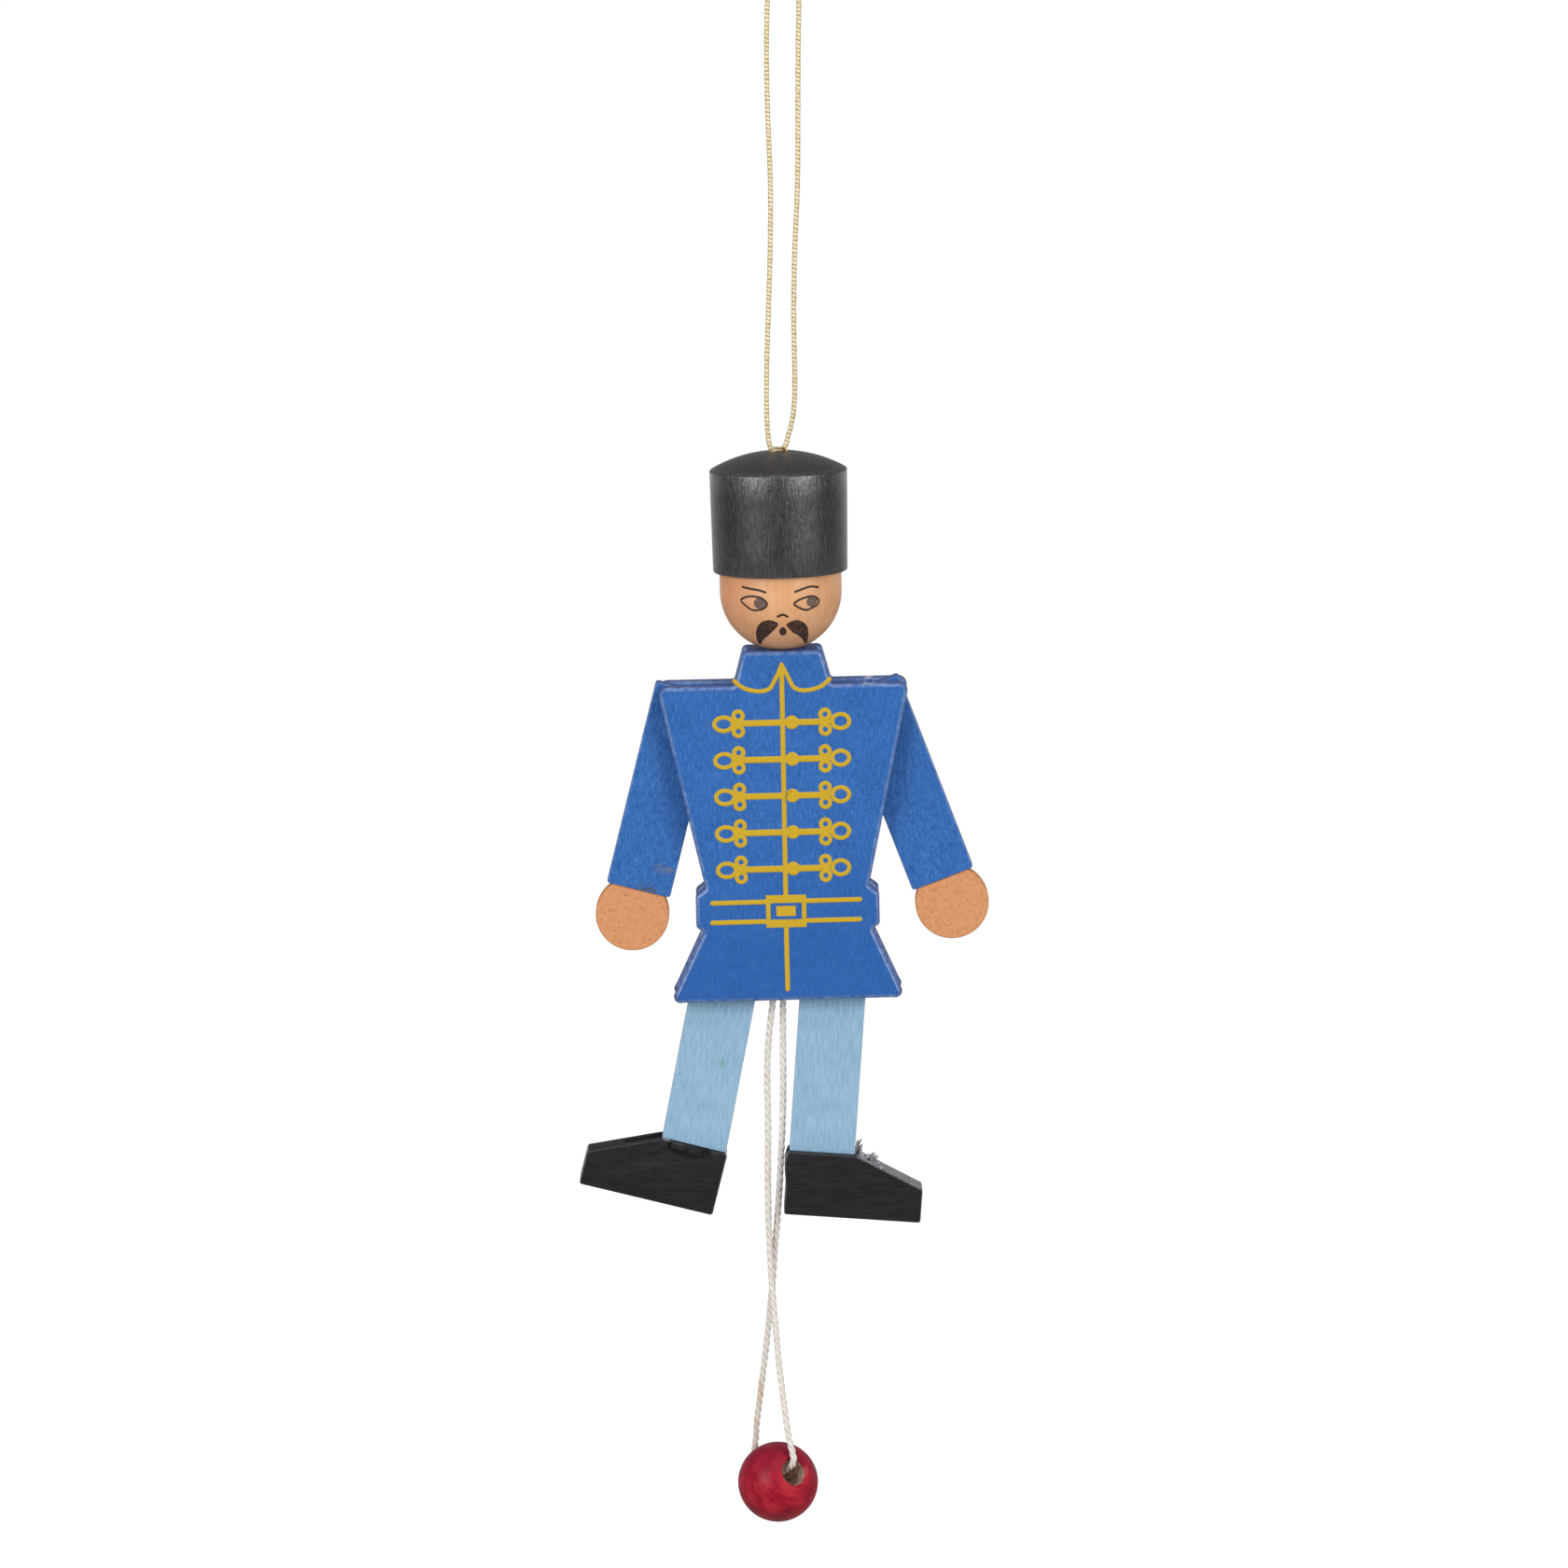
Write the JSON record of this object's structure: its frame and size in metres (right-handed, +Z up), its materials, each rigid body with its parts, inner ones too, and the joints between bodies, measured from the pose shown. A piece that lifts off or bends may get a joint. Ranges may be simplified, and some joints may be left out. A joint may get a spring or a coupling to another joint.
{
  "type": "pull string jumping jack",
  "caption": "Flat wooden toy soldier on a cord loop; pulling the string with the bead swings its arms and legs outwards.",
  "frame": {"origin": "the loop's inside top, where it rests on the twig or hook that holds it; the figure hangs below", "axes": "+X to the viewer's right looking at the painted face, +Y to the back, +Z up"},
  "size_m": [0.0538, 0.0176, 0.212],
  "materials": {
    "jacket_blue": "blue satin paint on wood",
    "trouser_blue": "light blue satin paint on wood, the grain shows",
    "black_paint": "black satin paint on wood",
    "bare_wood": "skin-coloured stain on turned wood, clear varnish",
    "end_grain": "stained end grain of a dowel slice",
    "raw_wood": "bare sawn wood",
    "red_bead": "deep red stain and gloss varnish on turned wood",
    "gold_cord": "metallic gold twisted cord",
    "string": "undyed twisted cotton string",
    "brass_wire": "drawn brass wire",
    "steel": "plain steel nail"
  },
  "bodies": {
    "torso": {"front_panel": "jacket_blue", "back_panel": "jacket_blue", "neck_spacer": "jacket_blue", "neck_dowel": "raw_wood", "head": "bare_wood", "hat": "black_paint", "hat_staple": "brass_wire", "hanging_cord": "gold_cord", "hanging_knot": "gold_cord", "left_arm_nail": "steel", "right_arm_nail": "steel", "left_leg_nail": "steel", "right_leg_nail": "steel"},
    "left_arm": {"left_arm": "jacket_blue", "left_hand": "end_grain"},
    "right_arm": {"right_arm": "jacket_blue", "right_hand": "end_grain"},
    "left_leg": {"left_leg": "trouser_blue", "left_shoe": "black_paint"},
    "right_leg": {"right_leg": "trouser_blue", "right_shoe": "black_paint"},
    "pull": {"arm_thread": "string", "leg_thread": "string", "thread_stops": "string", "string_knots": "string", "pull_string": "string"},
    "bead": {"bead": "red_bead"}
  },
  "joints": [
    {"name": "pull", "type": "slide", "parent": "torso", "child": "pull", "axis": [0, 0, -1], "range_m": [0, 0.0046], "deforming": ["arm_thread", "leg_thread"]},
    {"name": "left_arm_swing", "type": "hinge", "parent": "torso", "child": "left_arm", "pos_m": [-0.01535, 0, -0.0986], "axis": [0, 1, 0], "range_deg": [0, 85]},
    {"name": "right_arm_swing", "type": "hinge", "parent": "torso", "child": "right_arm", "pos_m": [0.01035, 0, -0.0986], "axis": [0, -1, 0], "range_deg": [0, 85]},
    {"name": "left_leg_swing", "type": "hinge", "parent": "torso", "child": "left_leg", "pos_m": [-0.0085, 0, -0.1246], "axis": [0, 1, 0], "range_deg": [0, 55]},
    {"name": "right_leg_swing", "type": "hinge", "parent": "torso", "child": "right_leg", "pos_m": [0.0045, 0, -0.1246], "axis": [0, -1, 0], "range_deg": [0, 55]},
    {"name": "bead_spin", "type": "hinge", "parent": "pull", "child": "bead", "pos_m": [-0.0049, 0, -0.19985], "axis": [0.4589, -0.7637, 0.454], "continuous": true}
  ],
  "couplings": [
    {"joint": "left_arm_swing", "follows": "pull", "rad_per_m": 322},
    {"joint": "right_arm_swing", "follows": "pull", "rad_per_m": 322},
    {"joint": "left_leg_swing", "follows": "pull", "rad_per_m": 208},
    {"joint": "right_leg_swing", "follows": "pull", "rad_per_m": 208}
  ]
}
